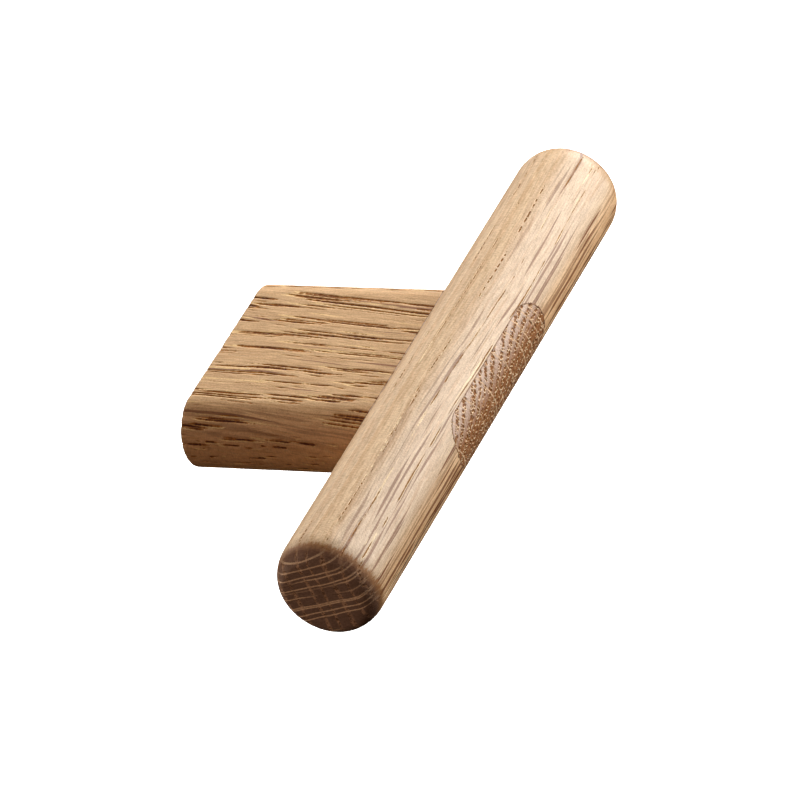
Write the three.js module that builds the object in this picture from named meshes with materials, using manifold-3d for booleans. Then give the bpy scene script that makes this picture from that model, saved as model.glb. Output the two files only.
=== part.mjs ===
// T-shaped oak handle for a drawer or cupboard door.
//
// Frame: the door's front is the plane y = 0 and the handle stands off from it towards -Y. The bar runs
// along X, the stem's wide faces are level (normal to Z), and +Z is up. The origin is the centre of the
// stem's back face, midway between the two fixing screws. Lengths are in millimetres.

import Module from "manifold-3d";
import * as THREE from "three";
import { mergeVertices } from "three/addons/utils/BufferGeometryUtils.js";

// Crossbar
const BAR_DIAMETER = 16;
const BAR_LENGTH = 98;
const BAR_AXIS_TO_DOOR = 36;
const END_ROUNDING_RADIAL = 2.5;
const END_ROUNDING_AXIAL = 4.3;

// Stem and its through tenon, both with fully rounded long edges
const STEM_WIDTH = 36.6;
const STEM_THICKNESS = 11.5;
const TENON_WIDTH = 33;
const TENON_THICKNESS = 8.8;
const JOINT_GAP = 0.3;

// Threaded inserts for the M4 fixing screws
const SCREW_SPACING = 16;
const INSERT_DIAMETER = 6.4;
const INSERT_GROOVE_DIAMETER = 5.4;
const INSERT_LENGTH = 10;
const INSERT_RECESS = 0.5;
const INSERT_CHAMFER = 0.5;
const THREAD_BORE_DIAMETER = 3.3;
const THREAD_MOUTH_DIAMETER = 4.4;
const INSERT_HOLE_DIAMETER = 7;
const INSERT_HOLE_DEPTH = 15;

// Facets
const BAR_SEGMENTS = 96;
const END_ROUNDING_STEPS = 8;
const STADIUM_EDGE_SEGMENTS = 16;
const INSERT_SEGMENTS = 36;

// Values worked out from the driving dimensions
const BAR_RADIUS = BAR_DIAMETER / 2;
const BAR_AXIS_Y = -BAR_AXIS_TO_DOOR;
const TENON_REACH = BAR_AXIS_TO_DOOR + BAR_DIAMETER;
const TENON_ROOT = BAR_AXIS_TO_DOOR - BAR_DIAMETER;

const OAK = { color: 0xd8b68a, roughness: 0.62, metalness: 0 };
const OPEN_GRAINED_OAK = { color: 0xc7a074, roughness: 0.7, metalness: 0 };
const BRASS = { color: 0xc9a45a, roughness: 0.35, metalness: 1 };

const wasm = await Module();
wasm.setup();

// A closed three.js geometry as a manifold solid. Its triangles are split at their positions only.
function solidFrom(geometry) {
  const bare = geometry.clone();
  bare.deleteAttribute("normal");
  bare.deleteAttribute("uv");
  const merged = mergeVertices(bare, 1e-5);
  const mesh = new wasm.Mesh({
    numProp: 3,
    vertProperties: new Float32Array(merged.attributes.position.array),
    triVerts: new Uint32Array(merged.index.array),
  });
  return new wasm.Manifold(mesh);
}

// A manifold solid back as a three.js geometry, with flat facets.
function geometryFrom(solid) {
  const { vertProperties, triVerts } = solid.getMesh();
  const geometry = new THREE.BufferGeometry();
  geometry.setAttribute("position", new THREE.BufferAttribute(new Float32Array(vertProperties), 3));
  geometry.setIndex(new THREE.BufferAttribute(new Uint32Array(triVerts), 1));
  geometry.computeVertexNormals();
  return geometry;
}

// A named mesh with a standard material of its own.
function part(name, geometry, finish) {
  const mesh = new THREE.Mesh(geometry, new THREE.MeshStandardMaterial(finish));
  mesh.name = name;
  return mesh;
}

// A flat bar with semicircular long edges, width along X and thickness along Z, from y = -near to y = -far.
function stadiumBar(width, thickness, near, far) {
  const radius = thickness / 2;
  const straight = width / 2 - radius;
  const outline = new THREE.Shape();
  outline.moveTo(-straight, -radius);
  outline.lineTo(straight, -radius);
  outline.absarc(straight, 0, radius, -Math.PI / 2, Math.PI / 2);
  outline.lineTo(-straight, radius);
  outline.absarc(-straight, 0, radius, Math.PI / 2, (3 * Math.PI) / 2);
  const options = { depth: far - near, bevelEnabled: false, curveSegments: STADIUM_EDGE_SEGMENTS };
  const geometry = new THREE.ExtrudeGeometry(outline, options);
  geometry.rotateX(Math.PI / 2);
  geometry.translate(0, -near, 0);
  return solidFrom(geometry);
}

// The bar before it is cut: a turned round whose ends are rounded over on a quarter ellipse.
function turnedBar() {
  const shoulder = BAR_LENGTH / 2 - END_ROUNDING_AXIAL;
  const flatRadius = BAR_RADIUS - END_ROUNDING_RADIAL;
  const rounding = [];
  for (let step = 0; step <= END_ROUNDING_STEPS; step += 1) {
    const angle = (step / END_ROUNDING_STEPS) * (Math.PI / 2);
    const radius = flatRadius + END_ROUNDING_RADIAL * Math.cos(angle);
    rounding.push(new THREE.Vector2(radius, shoulder + END_ROUNDING_AXIAL * Math.sin(angle)));
  }
  const lowerRounding = rounding.map((point) => new THREE.Vector2(point.x, -point.y)).reverse();
  const axisEnd = BAR_LENGTH / 2;
  const profile = [
    new THREE.Vector2(0, -axisEnd),
    ...lowerRounding,
    ...rounding,
    new THREE.Vector2(0, axisEnd),
  ];
  const geometry = new THREE.LatheGeometry(profile, BAR_SEGMENTS);
  geometry.rotateZ(-Math.PI / 2);
  geometry.translate(0, BAR_AXIS_Y, 0);
  return solidFrom(geometry);
}

// A plain round along the bar's axis, with the bar's own facets, for the cope and the flush tenon end.
function roundAlongBar(radius) {
  const geometry = new THREE.CylinderGeometry(radius, radius, BAR_LENGTH, BAR_SEGMENTS);
  geometry.rotateZ(-Math.PI / 2);
  geometry.translate(0, BAR_AXIS_Y, 0);
  return solidFrom(geometry);
}

// A drilled blind hole in the stem's back face.
function insertHole(x) {
  const radius = INSERT_HOLE_DIAMETER / 2;
  const overshoot = 1;
  const geometry = new THREE.CylinderGeometry(
    radius,
    radius,
    INSERT_HOLE_DEPTH + overshoot,
    INSERT_SEGMENTS,
  );
  geometry.translate(x, (overshoot - INSERT_HOLE_DEPTH) / 2, 0);
  return solidFrom(geometry);
}

// The round bar with the slot mortise right through it.
function crossbarGeometry() {
  const slotWidth = TENON_WIDTH + 2 * JOINT_GAP;
  const slotThickness = TENON_THICKNESS + 2 * JOINT_GAP;
  const slot = stadiumBar(slotWidth, slotThickness, TENON_ROOT, TENON_REACH);
  return geometryFrom(turnedBar().subtract(slot));
}

// The stem: a shoulder coped to the bar, a tenon that ends flush with the bar's far side, two insert holes.
function stemGeometry() {
  const cope = roundAlongBar(BAR_RADIUS + JOINT_GAP);
  const shank = stadiumBar(STEM_WIDTH, STEM_THICKNESS, 0, BAR_AXIS_TO_DOOR).subtract(cope);
  const tenonRoot = stadiumBar(TENON_WIDTH, TENON_THICKNESS, TENON_ROOT, BAR_AXIS_TO_DOOR);
  const tenonBlank = stadiumBar(TENON_WIDTH, TENON_THICKNESS, TENON_ROOT, TENON_REACH);
  const tenonEnd = tenonBlank.intersect(roundAlongBar(BAR_RADIUS));
  let stem = shank.add(tenonRoot).add(tenonEnd);
  for (const side of [-1, 1]) {
    stem = stem.subtract(insertHole((side * SCREW_SPACING) / 2));
  }
  return geometryFrom(stem);
}

// A press-in insert: two gripping bands with a groove between, chamfered ends and a bore for the thread.
// It is a ring turned about its own axis, with its mouth at the top.
function insertGeometry() {
  const outer = INSERT_DIAMETER / 2;
  const groove = INSERT_GROOVE_DIAMETER / 2;
  const bore = THREAD_BORE_DIAMETER / 2;
  const mouth = THREAD_MOUTH_DIAMETER / 2;
  const bandLength = INSERT_LENGTH * 0.38;
  const profile = [
    [bore, -INSERT_LENGTH],
    [outer - INSERT_CHAMFER, -INSERT_LENGTH],
    [outer, -INSERT_LENGTH + INSERT_CHAMFER],
    [outer, -INSERT_LENGTH + bandLength],
    [groove, -INSERT_LENGTH + bandLength + INSERT_CHAMFER],
    [groove, -bandLength - INSERT_CHAMFER],
    [outer, -bandLength],
    [outer, -INSERT_CHAMFER],
    [outer - INSERT_CHAMFER, 0],
    [mouth, 0],
    [bore, bore - mouth],
    [bore, -INSERT_LENGTH],
  ];
  const points = profile.map(([radius, height]) => new THREE.Vector2(radius, height));
  return new THREE.LatheGeometry(points, INSERT_SEGMENTS);
}

function threadedInsert(name, side) {
  const insert = part(name, insertGeometry(), BRASS);
  insert.position.set((side * SCREW_SPACING) / 2, -INSERT_RECESS, 0);
  return insert;
}

const handle = new THREE.Group();
handle.add(part("crossbar", crossbarGeometry(), OAK));
handle.add(part("stem", stemGeometry(), OPEN_GRAINED_OAK));
handle.add(threadedInsert("threaded_insert_left", -1));
handle.add(threadedInsert("threaded_insert_right", 1));

export default handle;
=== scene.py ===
"""An oak T-bar handle: fine meshes, solid oak, a studio and a camera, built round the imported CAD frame."""

import math

import bmesh
import bpy
import numpy as np
from mathutils import Matrix, Vector


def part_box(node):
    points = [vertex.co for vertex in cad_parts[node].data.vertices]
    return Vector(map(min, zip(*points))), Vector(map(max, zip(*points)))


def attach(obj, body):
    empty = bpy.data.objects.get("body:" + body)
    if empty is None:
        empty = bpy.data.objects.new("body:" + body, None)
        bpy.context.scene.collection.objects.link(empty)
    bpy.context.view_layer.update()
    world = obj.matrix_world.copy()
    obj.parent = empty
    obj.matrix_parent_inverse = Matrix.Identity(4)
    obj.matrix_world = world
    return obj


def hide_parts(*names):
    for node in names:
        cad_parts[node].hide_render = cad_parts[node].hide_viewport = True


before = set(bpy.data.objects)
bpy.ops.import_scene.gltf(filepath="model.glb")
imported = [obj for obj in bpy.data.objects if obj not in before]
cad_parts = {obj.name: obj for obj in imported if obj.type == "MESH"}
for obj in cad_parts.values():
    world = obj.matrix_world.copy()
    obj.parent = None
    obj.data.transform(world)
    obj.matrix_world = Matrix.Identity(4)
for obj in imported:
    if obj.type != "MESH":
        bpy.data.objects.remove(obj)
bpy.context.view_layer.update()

MM = 0.001


# ---------------------------------------------------------------- sizes, in millimetres, from the frame

def node_box(name):
    """A CAD node's lowest and highest corners, in millimetres."""
    low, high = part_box(name)
    return np.array(low) / MM, np.array(high) / MM


BAR_LOW, BAR_HIGH = node_box("crossbar")
STEM_LOW, STEM_HIGH = node_box("stem")
INSERT_LOW, INSERT_HIGH = node_box("threaded_insert_right")

BAR_RADIUS = (BAR_HIGH[2] - BAR_LOW[2]) / 2
BAR_HALF = (BAR_HIGH[0] - BAR_LOW[0]) / 2
BAR_AXIS_Y = (BAR_LOW[1] + BAR_HIGH[1]) / 2
END_ROUNDING_RADIAL = 2.5
END_ROUNDING_AXIAL = 4.3

STEM_WIDTH = STEM_HIGH[0] - STEM_LOW[0]
STEM_THICKNESS = STEM_HIGH[2] - STEM_LOW[2]
TENON_WIDTH = 33.0
TENON_THICKNESS = 8.8
TENON_ROOT_Y = -20.0
GLUE_THICKNESS = 0.07
GLUE_RECESS = 0.05
GLUE_DEPTH = 1.0
SHOULDER_GAP = 0.02
BACK_EDGE_ROUNDING = 0.35

INSERT_RADIUS = (INSERT_HIGH[0] - INSERT_LOW[0]) / 2
INSERT_LENGTH = INSERT_HIGH[1] - INSERT_LOW[1]
INSERT_MOUTH_Y = INSERT_HIGH[1]
INSERT_X = (INSERT_LOW[0] + INSERT_HIGH[0]) / 2
INSERT_HOLE_RADIUS = INSERT_RADIUS + 0.06
INSERT_HOLE_DEPTH = 15.0


# ---------------------------------------------------------------- mesh building

WELD_DISTANCE = 1e-7


def weld(mesh):
    """Joins doubled points, drops faces with no area, and turns every face outwards."""
    work = bmesh.new()
    work.from_mesh(mesh)
    bmesh.ops.remove_doubles(work, verts=work.verts, dist=WELD_DISTANCE)
    bmesh.ops.dissolve_degenerate(work, edges=work.edges, dist=WELD_DISTANCE)
    bmesh.ops.recalc_face_normals(work, faces=work.faces)
    work.to_mesh(mesh)
    work.free()


def new_piece(name, points, faces):
    """A mesh object from points in millimetres, with its doubled points welded."""
    mesh = bpy.data.meshes.new(name)
    mesh.from_pydata((np.asarray(points) * MM).tolist(), [], faces)
    weld(mesh)
    piece = bpy.data.objects.new(name, mesh)
    bpy.context.scene.collection.objects.link(piece)
    return piece


def loft(loops, close_ends=False, join_ends=False):
    """Quads between closed loops of equal length. The end loops may be filled, or joined to each other."""
    count = len(loops[0])
    points = np.concatenate(loops)
    faces = []
    pairs = len(loops) if join_ends else len(loops) - 1
    for ring in range(pairs):
        here, there = ring * count, (ring + 1) % len(loops) * count
        for k in range(count):
            after = (k + 1) % count
            faces.append((here + k, here + after, there + after, there + k))
    if close_ends:
        faces.append(tuple(range(count))[::-1])
        faces.append(tuple((len(loops) - 1) * count + k for k in range(count)))
    return points, faces


def keep_evaluated(piece):
    """Applies the piece's modifiers to its mesh."""
    graph = bpy.context.evaluated_depsgraph_get()
    mesh = bpy.data.meshes.new_from_object(
        piece.evaluated_get(graph), preserve_all_data_layers=True, depsgraph=graph)
    piece.modifiers.clear()
    piece.data = mesh


def combine(piece, tool, operation):
    """Joins or cuts the piece with another closed mesh, which is then removed."""
    change = piece.modifiers.new(operation, "BOOLEAN")
    change.operation = operation
    change.object = tool
    change.solver = "MANIFOLD"
    keep_evaluated(piece)
    bpy.data.objects.remove(tool)


def full_turn(segments):
    """Angles all the way round, in equal steps."""
    return np.linspace(0, 2 * math.pi, segments, endpoint=False)


def stadium(straight, radius, edge_count, arc_count):
    """Points (x, z) round a stadium. Its straight edges keep their points when the radius shrinks."""
    along = np.linspace(-straight, straight, edge_count, endpoint=False)
    turn = np.linspace(-math.pi / 2, math.pi / 2, arc_count, endpoint=False)
    low = np.stack([along, np.full(edge_count, -radius)], 1)
    right = np.stack([straight + radius * np.cos(turn), radius * np.sin(turn)], 1)
    return np.concatenate([low, right, -low, -right])


def section_loop(section, y):
    """A loop in space from section points (x, z), at one y or at a y for each point."""
    depth = np.broadcast_to(y, len(section))
    return np.stack([section[:, 0], depth, section[:, 1]], 1)


def bar_face(z, radius, side):
    """y of the bar's round face at height z. side is -1 on the front and 1 towards the door."""
    return BAR_AXIS_Y + side * np.sqrt(radius ** 2 - z ** 2)


def bar_profile():
    """(radius, x) down the bar's side, from the middle of its +X end to the middle of its -X end."""
    step, cap_step, rounding_steps = 0.45, 0.4, 22
    flat_radius = BAR_RADIUS - END_ROUNDING_RADIAL
    shoulder = BAR_HALF - END_ROUNDING_AXIAL
    profile = [(radius, BAR_HALF) for radius in np.arange(cap_step, flat_radius, cap_step)]
    for angle in np.radians(np.linspace(90, 0, rounding_steps)):
        profile.append((flat_radius + END_ROUNDING_RADIAL * math.cos(angle),
                        shoulder + END_ROUNDING_AXIAL * math.sin(angle)))
    straight = [(BAR_RADIUS, x) for x in np.linspace(shoulder, -shoulder, int(2 * shoulder / step))]
    return profile + straight[1:-1] + [(radius, -x) for radius, x in profile[::-1]]


def crossbar_piece():
    """The turned bar with the slot mortise cut right through it."""
    segments, edge_count, arc_count = 320, 100, 96
    turn = full_turn(segments)
    loops = [np.stack([np.full(segments, x), BAR_AXIS_Y + radius * np.cos(turn), radius * np.sin(turn)], 1)
             for radius, x in bar_profile()]
    bar = new_piece("oak_crossbar", *loft(loops, close_ends=True))
    straight = TENON_WIDTH / 2 - TENON_THICKNESS / 2
    section = stadium(straight, TENON_THICKNESS / 2 + GLUE_THICKNESS, edge_count, arc_count)
    ends = [section_loop(section, BAR_AXIS_Y + side * 2 * BAR_RADIUS) for side in (-1, 1)]
    slot = new_piece("slot", *loft(ends, close_ends=True))
    combine(bar, slot, "DIFFERENCE")
    return bar


def shank():
    """The stem's body, from its square back end to the shoulder coped to the bar."""
    radius = STEM_THICKNESS / 2
    straight = STEM_WIDTH / 2 - radius
    edge_count, arc_count = 156, 112
    grid, length_step = 0.32, 0.33
    rounding_steps, cope_steps = 5, 12
    cope_radius = BAR_RADIUS + SHOULDER_GAP

    def section(inset):
        return stadium(straight, radius - inset, edge_count, arc_count)

    loops = [section_loop(section(inset), 0.0)
             for inset in np.arange(radius, BACK_EDGE_ROUNDING, -grid)]
    for angle in np.radians(np.linspace(0, 90, rounding_steps)):
        inset = BACK_EDGE_ROUNDING * (1 - math.sin(angle))
        loops.append(section_loop(section(inset), -BACK_EDGE_ROUNDING * (1 - math.cos(angle))))
    outer = section(0)
    front = bar_face(outer[:, 1], cope_radius, 1)
    rows = int((BAR_RADIUS - BAR_AXIS_Y) / length_step)
    for share in np.linspace(0, 1, rows)[1:]:
        loops.append(section_loop(outer, -BACK_EDGE_ROUNDING * (1 - share) + share * front))
    for inset in np.linspace(0, radius, cope_steps)[1:]:
        inner = section(inset)
        loops.append(section_loop(inner, bar_face(inner[:, 1], cope_radius, 1)))
    return new_piece("oak_stem", *loft(loops))


def tenon():
    """The tenon, whose far end is shaped to the bar's round face."""
    radius = TENON_THICKNESS / 2
    straight = TENON_WIDTH / 2 - radius
    edge_count, arc_count, step = 160, 84, 0.16

    def section(inset):
        return stadium(straight, radius - inset, edge_count, arc_count)

    loops = [section_loop(section(inset), TENON_ROOT_Y) for inset in (radius, 0.0)]
    for inset in [*np.arange(0, radius, step), radius]:
        inner = section(inset)
        loops.append(section_loop(inner, bar_face(inner[:, 1], BAR_RADIUS, -1)))
    return new_piece("tenon", *loft(loops))


def insert_hole(x):
    """A round tool that drills one insert hole from just outside the stem's back face."""
    segments, overshoot = 96, 1.0
    turn = full_turn(segments)
    circle = np.stack([x + INSERT_HOLE_RADIUS * np.cos(turn), INSERT_HOLE_RADIUS * np.sin(turn)], 1)
    ends = [section_loop(circle, overshoot), section_loop(circle, -INSERT_HOLE_DEPTH)]
    return new_piece("hole", *loft(ends, close_ends=True))


def stem_piece():
    """The stem with its tenon and its two insert holes, as one body."""
    stem = shank()
    combine(stem, tenon(), "UNION")
    for x in (-INSERT_X, INSERT_X):
        combine(stem, insert_hole(x), "DIFFERENCE")
    return stem


def glue_piece():
    """The thin glue film round the tenon, a little below the bar's face."""
    edge_count, arc_count = 100, 64
    inner = TENON_THICKNESS / 2
    outer = inner + GLUE_THICKNESS
    straight = TENON_WIDTH / 2 - inner
    corners = ((inner, GLUE_RECESS), (outer, GLUE_RECESS), (outer, GLUE_DEPTH), (inner, GLUE_DEPTH))
    loops = []
    for radius, lowered in corners:
        section = stadium(straight, radius, edge_count, arc_count)
        loops.append(section_loop(section, bar_face(section[:, 1], BAR_RADIUS, -1) + lowered))
    return new_piece("glue_line", *loft(loops, join_ends=True))


def insert_piece(name, x):
    """A brass insert: knurled bands outside, and a real M4 thread inside."""
    segments, rows = 96, 160
    thread_pitch, thread_depth, bore, mouth = 0.7, 0.38, 1.65, 2.2
    chamfer, knurl_depth, knurl_count = 0.35, 0.12, 40
    band, groove_radius = 0.38 * INSERT_LENGTH, INSERT_RADIUS - 0.5
    turn = full_turn(segments)
    depths = np.linspace(0, INSERT_LENGTH, rows)

    def thread_radius(depth):
        phase = (depth / thread_pitch + turn / (2 * math.pi)) % 1
        wave = 1 - np.abs(2 * phase - 1)
        lead = min(depth, INSERT_LENGTH - depth)
        opened = max(0.0, mouth - bore - lead)
        return np.maximum(bore + thread_depth * wave, bore + opened)

    def outer_radius(depth):
        lead = min(depth, INSERT_LENGTH - depth)
        if lead < chamfer:
            return np.full(segments, INSERT_RADIUS - knurl_depth - (chamfer - lead))
        if band < depth < INSERT_LENGTH - band:
            return np.full(segments, groove_radius)
        ridge = np.abs(((turn / (2 * math.pi) * knurl_count) % 1) * 2 - 1)
        return INSERT_RADIUS - knurl_depth * (1 - ridge)

    def loop(radius, depth):
        section = np.stack([x + radius * np.cos(turn), radius * np.sin(turn)], 1)
        return section_loop(section, INSERT_MOUTH_Y - depth)

    inside = [loop(thread_radius(depth), depth) for depth in depths]
    outside = [loop(outer_radius(depth), depth) for depth in depths[::-1]]
    return new_piece(name, *loft(inside + outside, join_ends=True))


# ---------------------------------------------------------------- node graphs, for shaders and for geometry

# A Mix node's colour sockets: the share of b, then a and b, and the result
MIX_SHARE, MIX_A, MIX_B, MIX_RESULT = 0, 6, 7, 2


class Graph:
    """Adds nodes to a shader or geometry tree. An argument is a socket or a plain value."""

    def __init__(self, tree):
        self.tree = tree

    def node(self, kind, inputs=None, **settings):
        """A new node with its settings, and its inputs by name."""
        made = self.tree.nodes.new(kind)
        for name, value in settings.items():
            setattr(made, name, value)
        for name, value in (inputs or {}).items():
            self.feed(made.inputs[name], value)
        return made

    def feed(self, socket, value):
        """Links an input to another node's output, or gives it a plain value."""
        if isinstance(value, bpy.types.NodeSocket):
            self.tree.links.new(value, socket)
        else:
            socket.default_value = value

    def math(self, operation, *values, clamp=False):
        """The result of one Math node."""
        made = self.node("ShaderNodeMath", operation=operation, use_clamp=clamp)
        for socket, value in zip(made.inputs, values):
            self.feed(socket, value)
        return made.outputs[0]

    def add(self, a, b):
        """a + b."""
        return self.math("ADD", a, b)

    def times(self, a, b):
        """a * b."""
        return self.math("MULTIPLY", a, b)

    def centred(self, noise, size):
        """Noise of 0 to 1, moved to lie round 0 and then scaled."""
        return self.times(self.add(noise, -0.5), size)

    def ramp(self, value, start, end):
        """0 at start and before it, 1 at end, and straight between them."""
        made = self.node("ShaderNodeMapRange", {"Value": value, "From Min": start, "From Max": end})
        return made.outputs[0]

    def dot(self, vector, direction):
        """A vector socket's dot product with a constant direction."""
        made = self.node("ShaderNodeVectorMath", operation="DOT_PRODUCT")
        self.feed(made.inputs[0], vector)
        made.inputs[1].default_value = tuple(direction)
        return made.outputs["Value"]

    def vector(self, x, y, z):
        """One vector from three values."""
        made = self.node("ShaderNodeCombineXYZ")
        for socket, value in zip(made.inputs, (x, y, z)):
            self.feed(socket, value)
        return made.outputs[0]

    def parts(self, vector):
        """The three values of a vector or a colour."""
        made = self.node("ShaderNodeSeparateXYZ")
        self.feed(made.inputs[0], vector)
        return made.outputs

    def noise(self, vector, detail=0.0, roughness=0.5):
        """A noise node. Output 0 is one value, and output 1 holds three that don't depend on each other."""
        return self.node("ShaderNodeTexNoise", {"Vector": vector, "Scale": 1.0, "Detail": detail,
                                                "Roughness": roughness})

    def sheets(self, position, randomness=1.0):
        """Random points on a line: Distance to the nearest one, and W, that point's own place."""
        return self.node("ShaderNodeTexVoronoi", {"W": position, "Scale": 1.0, "Randomness": randomness},
                         voronoi_dimensions="1D").outputs

    def mix(self, share, a, b, blend="MIX"):
        """A colour mix, in shader trees."""
        made = self.node("ShaderNodeMix", data_type="RGBA", blend_type=blend)
        self.feed(made.inputs[MIX_SHARE], share)
        self.feed(made.inputs[MIX_A], a)
        self.feed(made.inputs[MIX_B], b)
        return made.outputs[MIX_RESULT]


def colour(red, green, blue):
    """A linear colour from sRGB display values of 0 to 255."""

    def linear(value):
        share = value / 255
        return share / 12.92 if share <= 0.04045 else ((share + 0.055) / 1.055) ** 2.4

    return (linear(red), linear(green), linear(blue), 1.0)


# ---------------------------------------------------------------- solid oak

def tilted(degrees, first, second):
    """A unit direction turned from first towards second."""
    angle = math.radians(degrees)
    return np.array(first) * math.cos(angle) + np.array(second) * math.sin(angle)


# The two boards that the handle is cut from. Lengths are in millimetres.
#   grain, radial              directions along the grain and away from the pith
#   offset                     the board's place in the tree: along, outwards and across
#   pith, ring                 distance to the pith, and one year's growth
#   sway, waver                how far the grain drifts, slowly and over a centimetre or so
#   wander, wander_length      how far a vessel drifts outwards and across, and over what length
#   pore_cell, pore_radius     the vessels' spacing outwards and across, and their radius
#   pore_length, dot_length    typical lengths of an open slit, and of the dots it breaks into
#   pore_cut, pore_share       noise level above which a vessel is open, and share of cells with a vessel
#   early_width                share of each year that is pore-rich early wood
#    sheen_side, shade_side     painted sheen where the highlight falls, and painted shade on the side turned from the lamps, with stronger lines: direction, start and span
#   ray_spacing, ray_half      the broad rays' spacing and half thickness
#   ray_length, ray_cut        their typical length, and the noise level above which they are thick
#   relief                     how deep the open pores are carved
BAR_OAK = {
    "grain": np.array((1.0, 0.0, 0.0)),
    "radial": tilted(16, (0, -1, 0), (0, 0, 1)),
    "offset": (110.0, 4.0, 5.0),
    "pith": 70.0,
    "ring": 2.1,
    "sway": 0.4,
    "waver": 0.4,
    "wander": (0.03, 0.05),
    "wander_length": 3.0,
    "pore_cell": (0.34, 0.36),
    "pore_radius": 0.11,
    "pore_length": 9.0,
    "dot_length": 0.6,
    "pore_cut": 0.42,
    "pore_share": 0.7,
    "early_width": 0.34,
    # the side with painted sheen, where the highlight falls
    "sheen_side": (tilted(42, (0, -1, 0), (0, 0, 1)), 32.9, 1.5),
    # the side with painted shade, turned from the lamps
    "shade_side": (tilted(-55, (0, -1, 0), (0, 0, 1)), 21.8, 5.2),
    "ray_spacing": 0.8,
    "ray_half": 0.21,
    "ray_length": 14.0,
    "ray_cut": 0.49,
    "relief": 0.05,
}

STEM_OAK = {
    "grain": tilted(4.4, (0, -1, 0), (-1, 0, 0)),
    "radial": tilted(17, (0, 0, 1), (-1, 0, 0)),
    "offset": (50.0, 2.0, 9.0),
    "pith": 60.0,
    "ring": 1.35,
    "sway": 0.7,
    "waver": 0.6,
    "wander": (0.08, 0.1),
    "wander_length": 11.0,
    "pore_cell": (0.4, 0.42),
    "pore_radius": 0.19,
    "pore_length": 20.0,
    "dot_length": 3.0,
    "pore_cut": 0.38,
    "pore_share": 0.97,
    "early_width": 0.68,
    # the upper side, with painted sheen on the end grain
    "sheen_side": (np.array((0.0, 0.0, 1.0)), 0.3, 3.7),
    # the -X side, with painted shade
    "shade_side": (np.array((-1.0, 0.0, 0.0)), 12.0, 3.5),
    "ray_spacing": 2.4,
    "ray_half": 0.24,
    "ray_length": 20.0,
    "ray_cut": 0.46,
    "relief": 0.1,
}

# Noise frequencies per millimetre along the grain, outwards and across
SLOW_SWAY = (0.022, 0.05, 0.05)
QUICK_SWAY = (0.1, 0.3, 0.3)
FIBRE = (0.4, 3.6, 3.6)
FUZZ = (4.0, 1.2, 5.0)
STREAK = (0.07, 1.8, 2.8)
HAIR = (0.12, 3.0, 7.0)
TONE = (0.02, 0.9, 0.9)
PATCH = (0.5, 1.4, 1.4)
VESSEL_WANDER = 0.3
VESSEL_EDGE = 2.2

# Fine rays and dark lines per millimetre across, and a shift that keeps the lines clear of the rays' pattern
FINE_RAYS = 2.5
LINES = 1.7
LINE_SHIFT = 50.0


def ways(wood):
    """Unit directions along the grain, away from the pith, and across both."""
    grain = wood["grain"] / np.linalg.norm(wood["grain"])
    radial = wood["radial"] - grain * np.dot(wood["radial"], grain)
    radial = radial / np.linalg.norm(radial)
    return grain, radial, np.cross(grain, radial)


def wood_noise(g, places, frequencies, detail=0.0):
    """A noise node over the wood, with its own frequency along the grain, outwards and across."""
    scaled = [g.times(place, frequency) for place, frequency in zip(places, frequencies)]
    return g.noise(g.vector(*scaled), detail=detail)


def grain_places(g, place, wood):
    """Millimetres along the grain, away from the pith and across both, following the grain's sway."""
    places = [g.add(g.dot(place, way / MM), start) for way, start in zip(ways(wood), wood["offset"])]
    slow = g.parts(wood_noise(g, places, SLOW_SWAY).outputs[1])
    quick = g.parts(wood_noise(g, places, QUICK_SWAY).outputs[1])
    along, radial, across = places
    radial = g.add(radial, g.centred(slow[0], 4 * wood["sway"]))
    drift = g.add(g.centred(slow[1], 4 * wood["sway"]), g.centred(quick[1], wood["waver"]))
    return along, radial, g.add(across, drift)


def ring_phase(g, radial, across, wood):
    """0 to 1 through each year's growth, from early to late wood, on uneven rings round a far pith."""
    unevenness, pace = 1.3, 0.45
    from_pith = g.add(radial, wood["pith"])
    squares = g.add(g.times(from_pith, from_pith), g.times(across, across))
    years = g.times(g.math("SQRT", squares), 1 / wood["ring"])
    uneven = g.noise(g.vector(g.times(years, pace), 0.0, 0.0)).outputs[0]
    return g.math("FRACT", g.add(years, g.times(uneven, unevenness)))


def early_share(g, phase, width):
    """1 in the pore-rich early wood, fading out by the given share of the year."""
    starts = g.ramp(phase, 0.0, 0.05)
    fades = g.ramp(phase, width, width * 0.6)
    return g.times(starts, fades)


def vessel_noise(g, along, frequency, first, second, spread=60.0, detail=0.0, roughness=0.5):
    """Noise along each vessel, on a course of its own that two of its random numbers choose."""
    course = g.vector(g.times(along, frequency), g.times(first, spread), g.times(second, spread))
    return g.noise(course, detail, roughness).outputs[0]


def open_share(g, along, chance, wood, ray_cut):
    """1 where a vessel is open along the grain: in slits, and in dots where the cut lies flat to the rays."""
    slits = vessel_noise(g, along, 1 / wood["pore_length"], chance[0], chance[1], detail=3.0, roughness=0.6)
    dots = vessel_noise(g, along, 1 / wood["dot_length"], chance[1], chance[0])
    breaks = g.times(g.ramp(ray_cut, 0.6, 0.85), g.ramp(dots, 0.53, 0.43))
    return g.times(g.ramp(slits, wood["pore_cut"], wood["pore_cut"] + 0.1), g.math("SUBTRACT", 1.0, breaks))


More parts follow.
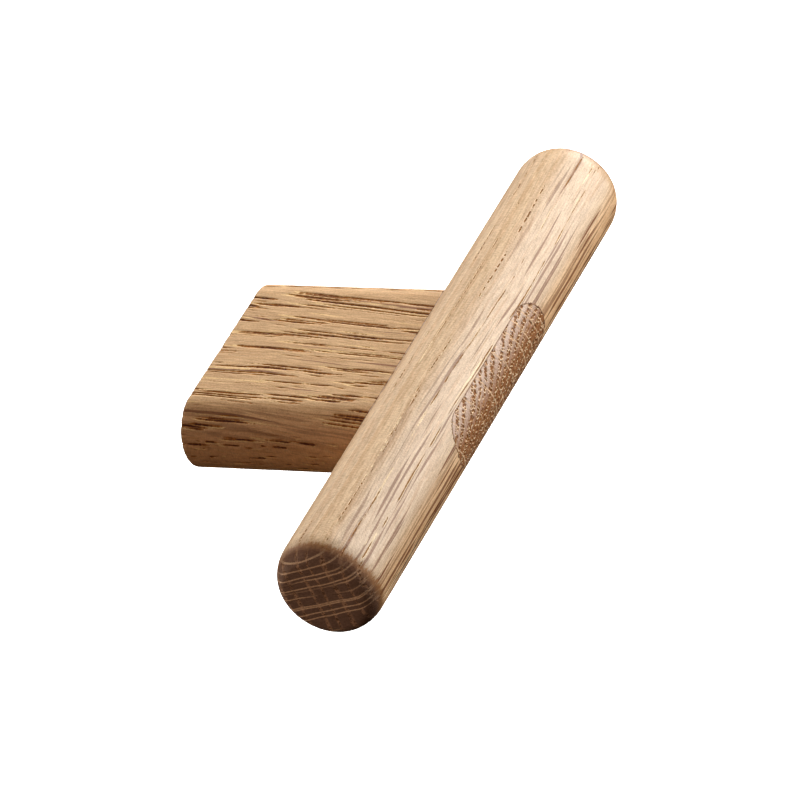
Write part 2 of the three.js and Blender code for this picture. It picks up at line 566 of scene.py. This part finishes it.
def vessel_fields(g, places, wood, softness, end_cut, ray_cut):
    """Pores, with deep middles carrying painted shade and a painted glint on one side of each wall: discs on
    end grain, slits or rows of dots on long grain.
    """
    along, radial, across = places
    pace = (1 / wood["wander_length"], VESSEL_WANDER, VESSEL_WANDER)
    wander = g.parts(wood_noise(g, places, pace, detail=2.0).outputs[1])
    radial = g.add(radial, g.centred(wander[0], 4 * wood["wander"][0]))
    across = g.add(across, g.centred(wander[1], 4 * wood["wander"][1]))
    cell_radial, cell_across = wood["pore_cell"]
    cells = g.node("ShaderNodeTexVoronoi", {
        "Vector": g.vector(g.times(radial, 1 / cell_radial), g.times(across, 1 / cell_across), 0.0),
        "Scale": 1.0}, voronoi_dimensions="2D")
    centre = g.parts(cells.outputs["Position"])
    chance = g.parts(cells.outputs["Color"])
    centre_radial = g.times(centre[0], cell_radial)
    centre_across = g.times(centre[1], cell_across)

    ends = g.ramp(end_cut, 0.3, 0.6)
    year = ring_phase(g, centre_radial, centre_across, wood)
    size = g.times(early_share(g, year, wood["early_width"]),
                   g.math("GREATER_THAN", wood["pore_share"], chance[2]))
    size = g.times(size, g.math("MAXIMUM", ends, open_share(g, along, chance, wood, ray_cut)))
    jagged = vessel_noise(g, along, VESSEL_EDGE, chance[0], chance[2], spread=40.0, detail=1.0)
    uneven = g.times(g.add(g.times(chance[1], 0.5), 0.65), g.add(jagged, 0.5))
    widest = g.times(g.add(g.times(ends, 0.1), 1.0), wood["pore_radius"])
    radius = g.times(g.times(size, uneven), widest)

    off_radial = g.math("SUBTRACT", radial, centre_radial)
    off_across = g.math("SUBTRACT", across, centre_across)
    distance = g.math("SQRT", g.add(g.times(off_radial, off_radial), g.times(off_across, off_across)))
    inside = g.math("SUBTRACT", radius, distance)
    there = g.ramp(size, 0.0, 0.3)
    wall = g.times(g.ramp(g.math("ABSOLUTE", g.add(inside, 0.06)), 0.08, 0.03), g.ramp(size, 0.3, 0.8))
    return {
        "pore": g.times(g.math("MULTIPLY_ADD", inside, 1 / softness, 0.5, clamp=True), there),
        # the pore's middle, where its colour carries painted shade of the groove
        "deep": g.ramp(inside, 0.2 * wood["pore_radius"], 0.6 * wood["pore_radius"]),
        # a painted glint: the pale wall of a pore, drawn only on the side that faces the lamps
        "pore_glint": g.times(wall, g.ramp(g.math("SUBTRACT", off_across, off_radial), -0.06, 0.1)),
    }


def ray_fields(g, places, wood):
    """Thin sheets from the pith outwards: spindles, light lines on end grain, faint flecks and dark lines."""
    along, radial, across = places
    cut, softness = wood["ray_cut"], 0.08
    rays = g.sheets(g.times(across, 1 / wood["ray_spacing"]), randomness=0.8)
    height = g.noise(g.vector(g.times(along, 1 / wood["ray_length"]), g.times(radial, 0.04),
                              g.times(rays["W"], 17.3))).outputs[0]
    half = g.times(g.ramp(height, cut, cut + 0.2), wood["ray_half"])
    distance = g.times(rays["Distance"], wood["ray_spacing"])

    fine_rays = g.sheets(g.times(across, FINE_RAYS))
    slanted = g.times(g.add(radial, g.times(along, 0.6)), 0.7)
    fine_height = g.noise(g.vector(g.times(along, 0.4), slanted, g.times(fine_rays["W"], 9.7))).outputs[0]

    lines = g.sheets(g.add(g.times(across, LINES), LINE_SHIFT))
    line_height = g.noise(g.vector(g.times(along, 0.07), g.times(radial, 0.3), g.times(lines["W"], 23.1)),
                          detail=1.0).outputs[0]
    line_half = g.times(g.ramp(line_height, 0.4, 0.56), 0.48)
    return {
        "ray": g.math("MULTIPLY_ADD", g.math("SUBTRACT", half, distance), 1 / softness, 0.0, clamp=True),
        "ray_core": g.times(g.ramp(height, cut - 0.08, cut), g.ramp(distance, 0.14, 0.07)),
        "fleck": g.times(g.ramp(fine_height, 0.5, 0.58), g.ramp(fine_rays["Distance"], 0.3, 0.1)),
        "line": g.ramp(lines["Distance"], line_half, g.add(line_half, -0.14)),
    }


def fibre_fields(g, place, places, wood):
    """Year bands, fibres, slow changes of tone, and the sides that carry painted sheen and painted shade."""

    def noise(frequencies, detail=2.0):
        return wood_noise(g, places, frequencies, detail).outputs[0]

    def side(name):
        way, start, span = wood[name]
        return g.ramp(g.dot(place, way / MM), start, start + span)

    phase = ring_phase(g, places[1], places[2], wood)
    return {
        "band": early_share(g, phase, wood["early_width"]),
        "early": g.times(g.ramp(phase, 0.0, 0.06), g.ramp(phase, 0.65, 0.25)),
        # painted sheen: a paler side, where the highlight falls
        "sheen_side": side("sheen_side"),
        # painted shade: the side turned from the lamps
        "shade_side": side("shade_side"),
        "fibre": noise(FIBRE),
        "fuzz": noise(FUZZ, 1.0),
        "streak": g.ramp(noise(STREAK), 0.52, 0.66),
        "hair": g.ramp(noise(HAIR, 1.0), 0.58, 0.7),
        "tone": noise(TONE),
        "patchy": noise(PATCH),
    }


def keep_places(mesh, wood):
    """Stores each point's place, and how squarely its face cuts the grain and the rays."""
    count = len(mesh.vertices)
    places = np.empty(count * 3, dtype=np.float32)
    mesh.vertices.foreach_get("co", places)
    mesh.attributes.new("grain_at", "FLOAT_VECTOR", "POINT").data.foreach_set("vector", places)
    normals = np.empty(count * 3, dtype=np.float32)
    mesh.vertex_normals.foreach_get("vector", normals)
    grain, _, across = ways(wood)
    for name, way in (("end_cut", grain), ("ray_cut", across)):
        cut = np.abs(normals.reshape(-1, 3) @ way).astype(np.float32)
        mesh.attributes.new(name, "FLOAT", "POINT").data.foreach_set("value", cut)


def carve(piece, wood):
    """Sinks the open pores into the mesh as real grooves, and stores where each point was before."""
    softness = 0.1
    keep_places(piece.data, wood)
    tree = bpy.data.node_groups.new("carve_" + piece.name, "GeometryNodeTree")
    tree.interface.new_socket("Geometry", in_out="INPUT", socket_type="NodeSocketGeometry")
    tree.interface.new_socket("Geometry", in_out="OUTPUT", socket_type="NodeSocketGeometry")
    g = Graph(tree)
    start, end = g.node("NodeGroupInput"), g.node("NodeGroupOutput")
    end_cut, ray_cut = [g.node("GeometryNodeInputNamedAttribute", {"Name": name}).outputs[0]
                        for name in ("end_cut", "ray_cut")]
    places = grain_places(g, g.node("GeometryNodeInputPosition").outputs[0], wood)
    vessels = vessel_fields(g, places, wood, softness, end_cut, ray_cut)
    offset = g.node("ShaderNodeVectorMath", operation="SCALE")
    g.feed(offset.inputs[0], g.node("GeometryNodeInputNormal").outputs[0])
    g.feed(offset.inputs["Scale"], g.times(vessels["pore"], -wood["relief"] * MM))
    move = g.node("GeometryNodeSetPosition", {"Geometry": start.outputs[0], "Offset": offset.outputs[0]})
    g.feed(end.inputs[0], move.outputs[0])
    piece.modifiers.new("carve", "NODES").node_group = tree
    keep_evaluated(piece)


# How each board looks. The sheen colours are a painted sheen where the highlight falls, and one value
# lightens the pores in it; the shade side is painted shade, and lined is how strong its dark lines are.
# turn and the dark rounding darken the band where the ends round over into end grain, less at the far end.
# The pores' glint is painted light on one side of their walls, and the middles of the pores carry painted
# shade. end_... is end grain.
BAR_LOOK = {
    "specular": 0.3,
    # how far the painted sheen lightens the pores
    "pores_in_sheen": 0.7,
    "lined": 1.0,
    "early": colour(210, 170, 126),
    "late": colour(228, 195, 155),
    # painted sheen: a paler, less saturated colour where the highlight falls
    "sheen_side": colour(220, 194, 166),
    # painted shade: a warmer, more saturated colour turned from the lamps
    "shade_side": colour(234, 185, 135),
    "streak": colour(196, 152, 108),
    "hair": colour(160, 114, 74),
    "line": colour(114, 56, 12),
    "ray": colour(154, 116, 90),
    "fleck": colour(230, 202, 166),
    "pore": colour(172, 120, 66),
    # a pore's dark middle: its own colour with painted shade
    "deep_pore_and_shade": colour(120, 72, 34),
    # the pores' painted glint
    "pore_glint": colour(255, 228, 184),
    "turn": colour(158, 104, 56),
    "dark_rounding": colour(110, 66, 32),
    "end": colour(140, 109, 90),
    "end_sheen_side": colour(140, 109, 90),
    "end_early": colour(216, 172, 138),
    "end_ray": colour(250, 210, 170),
    # an end-grain pore's dark middle: its own colour with painted shade
    "end_pore_and_shade": colour(104, 72, 54),
    # the pores' painted glint on end grain
    "end_pore_glint": colour(190, 146, 112),
}

STEM_LOOK = {
    "specular": 0.35,
    "pores_in_sheen": 0.0,
    "lined": 0.4,
    "early": colour(198, 152, 104),
    "late": colour(209, 168, 121),
    "sheen_side": colour(209, 168, 121),
    "shade_side": colour(212, 161, 112),
    "streak": colour(178, 124, 68),
    "hair": colour(136, 86, 44),
    "line": colour(128, 80, 40),
    "ray": colour(138, 90, 56),
    "fleck": colour(214, 174, 126),
    "pore": colour(176, 112, 46),
    "deep_pore_and_shade": colour(82, 36, 8),
    "pore_glint": colour(244, 206, 142),
    "turn": colour(160, 112, 72),
    "dark_rounding": colour(120, 76, 42),
    "end": colour(148, 94, 50),
    # painted sheen on the end grain's upper side
    "end_sheen_side": colour(216, 190, 171),
    "end_early": colour(168, 116, 70),
    "end_ray": colour(222, 184, 144),
    "end_pore_and_shade": colour(112, 66, 34),
    "end_pore_glint": colour(252, 224, 184),
}

# How far each feature hides the colour under it
LONG_GRAIN_COVER = {"early": 0.7, "sheen_side": 0.85, "streak": 0.4, "fleck": 0.3, "hair": 0.25, "pore_glint": 0.75}
END_GRAIN_COVER = {"early": 0.75, "pore_glint": 0.85, "pore": 0.8, "ray": 0.9, "dark_rounding": 0.6}
TURN_COVER = 0.85

OAK_ROUGHNESS = 0.44
BUMP_HEIGHT = 0.07
FAR_END_START = 40.0
FAR_END_FULL = 45.0


def long_grain_colour(g, f, look, ray_cut):
    """The colour along the grain: year bands, streaks, rays and pores."""
    edge_on = g.ramp(ray_cut, 0.95, 0.65)

    def covered(under, name):
        return g.mix(g.times(f[name], LONG_GRAIN_COVER[name]), under, look[name])

    # painted sheen: paler, less saturated colour on the side where the highlight falls
    wood_colour = covered(covered(look["late"], "early"), "sheen_side")
    # painted shade: a warmer, more saturated colour on the side turned from the lamps
    wood_colour = g.mix(g.ramp(f["shade_side"], 0.3, 1.0), wood_colour, look["shade_side"])
    for name in ("streak", "fleck", "hair"):
        wood_colour = covered(wood_colour, name)
    # the dark lines are strongest in the painted shade
    lines = g.times(g.times(f["line"], edge_on), g.times(g.ramp(f["shade_side"], 0.25, 0.9), look["lined"]))
    wood_colour = g.mix(lines, wood_colour, look["line"])
    # rays turn darker in the painted shade
    ray_colour = g.mix(g.ramp(f["shade_side"], 0.1, 0.5), look["ray"], look["line"])
    wood_colour = g.mix(g.times(f["ray"], g.add(g.times(edge_on, 0.85), 0.08)), wood_colour, ray_colour)
    # the pores' painted glint, on their walls' lit side
    wood_colour = covered(wood_colour, "pore_glint")
    # the pores are lighter inside the painted sheen
    deep = g.times(f["deep"], g.math("MULTIPLY_ADD", f["sheen_side"], -look["pores_in_sheen"], 1.0))
    # pores: their own colour, with painted shade darkening their middles
    return g.mix(f["pore"], wood_colour, g.mix(deep, look["pore"], look["deep_pore_and_shade"]))


def end_grain_colour(g, f, look, end_cut):
    """The colour across the grain: broken year bands, rays as light lines, and open pores."""
    cover = END_GRAIN_COVER
    broken_early = g.times(g.times(f["band"], cover["early"]), g.ramp(f["patchy"], 0.4, 0.56))
    # end-grain pores: their own colour, with painted shade in their middles
    pore_colour = g.mix(f["deep"], look["pore"], look["end_pore_and_shade"])
    # painted sheen: paler end grain on the upper side, where the highlight falls
    wood_colour = g.mix(f["sheen_side"], look["end"], look["end_sheen_side"])
    wood_colour = g.mix(broken_early, wood_colour, look["end_early"])
    # the pores' painted glint on end grain
    wood_colour = g.mix(g.times(f["pore_glint"], cover["pore_glint"]), wood_colour, look["end_pore_glint"])
    wood_colour = g.mix(g.times(f["pore"], cover["pore"]), wood_colour, pore_colour)
    wood_colour = g.mix(g.times(f["ray_core"], cover["ray"]), wood_colour, look["end_ray"])
    # the rounded part of the end grain is darker
    rounded = g.mix(cover["dark_rounding"], wood_colour, look["dark_rounding"])
    return g.mix(g.ramp(end_cut, 0.85, 0.5), wood_colour, rounded)


def cut_shares(g, f, far_end, end_cut):
    """How far the surface has turned to the darker rounding band and to end grain, with a ragged border."""
    ragged_cut = g.add(end_cut, g.centred(f["fibre"], 0.3))
    # the darker band starts sooner in the painted shade
    ragged_cut = g.add(ragged_cut, g.add(g.times(f["shade_side"], 0.12), g.times(far_end, -0.22)))
    return g.ramp(ragged_cut, 0.2, 0.3), g.ramp(ragged_cut, 0.3, 0.48)


def oak_tint(g, f, far_end, end_cut):
    """A factor on the colour from fibres and tone. Darker wood is redder, and the far rounding is darker:
    painted shade that tones down the highlight there.
    """
    shade = g.add(g.centred(f["fibre"], 0.8), g.add(g.times(f["tone"], 0.3), 0.85))
    shade = g.add(shade, g.centred(f["fuzz"], 0.6))
    # painted shade on the far end's rounding
    painted_far_shade = g.times(far_end, g.ramp(end_cut, 0.0, 0.4))
    shade = g.times(shade, g.math("MULTIPLY_ADD", painted_far_shade, -0.5, 1.0))
    return g.vector(g.add(g.times(shade, 0.85), 0.15), shade, g.add(g.times(shade, 1.2), -0.2))


def oak_material(name, wood, look):
    """Solid oak: its colour, gloss and bump come from the fields that also carve the pores."""
    softness = 0.06
    material = bpy.data.materials.new(name)
    material.use_nodes = True
    g = Graph(material.node_tree)
    surface = material.node_tree.nodes["Principled BSDF"]
    place = g.node("ShaderNodeAttribute", attribute_name="grain_at").outputs["Vector"]
    end_cut, ray_cut = [g.node("ShaderNodeAttribute", attribute_name=attribute).outputs["Fac"]
                        for attribute in ("end_cut", "ray_cut")]
    places = grain_places(g, place, wood)
    f = {**vessel_fields(g, places, wood, softness, end_cut, ray_cut), **ray_fields(g, places, wood),
         **fibre_fields(g, place, places, wood)}

    far_end = g.ramp(g.dot(place, np.array((1.0, 0.0, 0.0)) / MM), FAR_END_START, FAR_END_FULL)
    turning, ends = cut_shares(g, f, far_end, end_cut)
    wood_colour = long_grain_colour(g, f, look, ray_cut)
    wood_colour = g.mix(g.times(turning, TURN_COVER), wood_colour, look["turn"])
    wood_colour = g.mix(ends, wood_colour, end_grain_colour(g, f, look, end_cut))
    wood_colour = g.mix(1.0, wood_colour, oak_tint(g, f, far_end, end_cut), blend="MULTIPLY")
    g.feed(surface.inputs["Base Color"], wood_colour)

    rough = g.add(g.times(f["fibre"], 0.2), OAK_ROUGHNESS)
    g.feed(surface.inputs["Roughness"], g.add(rough, g.times(g.add(ends, f["pore"]), 0.4)))
    surface.inputs["Specular IOR Level"].default_value = look["specular"]
    height = g.math("SUBTRACT", g.add(g.times(f["fibre"], 0.6), g.times(f["fuzz"], 0.5)), f["pore"])
    bump = g.node("ShaderNodeBump", {"Height": height, "Distance": BUMP_HEIGHT * MM, "Strength": 1.0})
    g.feed(surface.inputs["Normal"], bump.outputs[0])
    return material


def plain_material(name, base, roughness, metallic=0.0):
    """A material of one colour, for the brass, the glue and the floor."""
    material = bpy.data.materials.new(name)
    material.use_nodes = True
    surface = material.node_tree.nodes["Principled BSDF"]
    surface.inputs["Base Color"].default_value = base
    surface.inputs["Roughness"].default_value = roughness
    surface.inputs["Metallic"].default_value = metallic
    return material


# ---------------------------------------------------------------- studio and camera

LAMP_AIM = Vector((0.0, -0.03, 0.0))
LAMP_DISTANCE = 0.5
LAMP_SIZE = 0.22
LAMP_GAIN = 1.4
NEUTRAL = (1.0, 1.0, 1.0)
WARM = (1.04, 1.0, 0.95)
AMBER = (1.27, 0.94, 0.74)
LAMPS = {  # name: azimuth and elevation in degrees, power in watts before the gain, and colour
    "key_low": (45, 10, 1.6, NEUTRAL),
    "key_high": (45, 45, 0.82, NEUTRAL),
    "side": (90, 15, 1.83, NEUTRAL),
    "back": (180, 15, 0.92, WARM),
    "back_side": (135, 15, 0.37, WARM),
    "fill": (-90, 17, 0.25, AMBER),
}

WHITE = (1.0, 1.0, 1.0, 1.0)
FLOOR_GREY = (0.9, 0.9, 0.9, 1.0)
FLOOR_HALF = 20.0
FLOOR_LEVEL = -0.12

CAMERA_AZIMUTH = -56.89
CAMERA_ELEVATION = 33.96
CAMERA_ROLL = -17.79
CAMERA_LENS = 316.9
CAMERA_SPOT = Vector((-0.7114, -0.4905, 0.5685))


def direction(azimuth, elevation):
    """The unit direction towards a viewer. Azimuth 0 is in front, at -Y, and 90 is at +X."""
    a, e = math.radians(azimuth), math.radians(elevation)
    return Vector((math.sin(a) * math.cos(e), -math.cos(a) * math.cos(e), math.sin(e)))


def make_lamps():
    """Soft round lamps on a sphere round the handle, all aimed at it."""
    for name, (azimuth, elevation, power, tint) in LAMPS.items():
        light = bpy.data.lights.new(name, "AREA")
        light.shape = "DISK"
        light.size = LAMP_SIZE
        light.energy = power * LAMP_GAIN
        light.color = tint
        lamp = bpy.data.objects.new(name, light)
        towards = direction(azimuth, elevation)
        lamp.location = LAMP_AIM + towards * LAMP_DISTANCE
        lamp.rotation_mode = "QUATERNION"
        lamp.rotation_quaternion = towards.to_track_quat("Z", "Y")
        lamp.visible_camera = False
        bpy.context.scene.collection.objects.link(lamp)


def make_floor():
    """A plain pale floor well below the handle, which neither lights it nor shades it."""
    corners = [(-1, -1), (1, -1), (1, 1), (-1, 1)]
    points = [(x * FLOOR_HALF, y * FLOOR_HALF, FLOOR_LEVEL) for x, y in corners]
    mesh = bpy.data.meshes.new("floor")
    mesh.from_pydata(points, [], [(0, 1, 2, 3)])
    floor = bpy.data.objects.new("floor", mesh)
    bpy.context.scene.collection.objects.link(floor)
    material = plain_material("pale_floor", FLOOR_GREY, 0.9)
    surface = material.node_tree.nodes["Principled BSDF"]
    surface.inputs["Emission Color"].default_value = WHITE
    surface.inputs["Emission Strength"].default_value = 1.0
    mesh.materials.append(material)
    floor.visible_diffuse = False
    floor.visible_glossy = False
    floor.visible_shadow = False


def make_backdrop():
    """White beyond the floor, which the camera sees and which lights nothing."""
    world = bpy.data.worlds.new("white")
    bpy.context.scene.world = world
    world.use_nodes = True
    g = Graph(world.node_tree)
    background = world.node_tree.nodes["Background"]
    background.inputs["Color"].default_value = WHITE
    g.feed(background.inputs["Strength"], g.node("ShaderNodeLightPath").outputs["Is Camera Ray"])


def make_camera():
    """A long lens on the handle, from above and from its -X side, rolled as the picture needs."""
    data = bpy.data.cameras.new("camera")
    data.sensor_width = 36.0
    data.lens = CAMERA_LENS
    data.clip_end = 100.0
    camera = bpy.data.objects.new("camera", data)
    bpy.context.scene.collection.objects.link(camera)
    back = direction(CAMERA_AZIMUTH, CAMERA_ELEVATION)
    upright = back.to_track_quat("Z", "Y").to_matrix().to_4x4()
    turn = Matrix.Rotation(math.radians(CAMERA_ROLL), 4, back) @ upright
    camera.matrix_world = Matrix.Translation(CAMERA_SPOT) @ turn
    bpy.context.scene.camera = camera


# ---------------------------------------------------------------- the object

OAK_SMOOTH_ANGLE = 50
PLAIN_SMOOTH_ANGLE = 30


def place_piece(piece, node, material, smooth_angle):
    """Gives a piece its material, smooth shading and body, and hides the CAD node that it replaces."""
    piece.data.materials.clear()
    piece.data.materials.append(material)
    for polygon in piece.data.polygons:
        polygon.use_smooth = True
    piece.data.set_sharp_from_angle(angle=math.radians(smooth_angle))
    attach(piece, "root")
    if node:
        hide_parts(node)


bpy.context.scene.view_settings.view_transform = "Standard"
make_camera()
make_lamps()
make_floor()
make_backdrop()

bar = crossbar_piece()
carve(bar, BAR_OAK)
place_piece(bar, "crossbar", oak_material("bar_oak", BAR_OAK, BAR_LOOK), OAK_SMOOTH_ANGLE)

stem = stem_piece()
carve(stem, STEM_OAK)
place_piece(stem, "stem", oak_material("stem_oak", STEM_OAK, STEM_LOOK), OAK_SMOOTH_ANGLE)

glue = plain_material("glue", colour(140, 98, 64), 0.6)
place_piece(glue_piece(), None, glue, PLAIN_SMOOTH_ANGLE)

brass = plain_material("brass", colour(214, 178, 110), 0.3, 1.0)
for hand, x in (("left", -INSERT_X), ("right", INSERT_X)):
    insert = insert_piece("brass_insert_" + hand, x)
    place_piece(insert, "threaded_insert_" + hand, brass, PLAIN_SMOOTH_ANGLE)
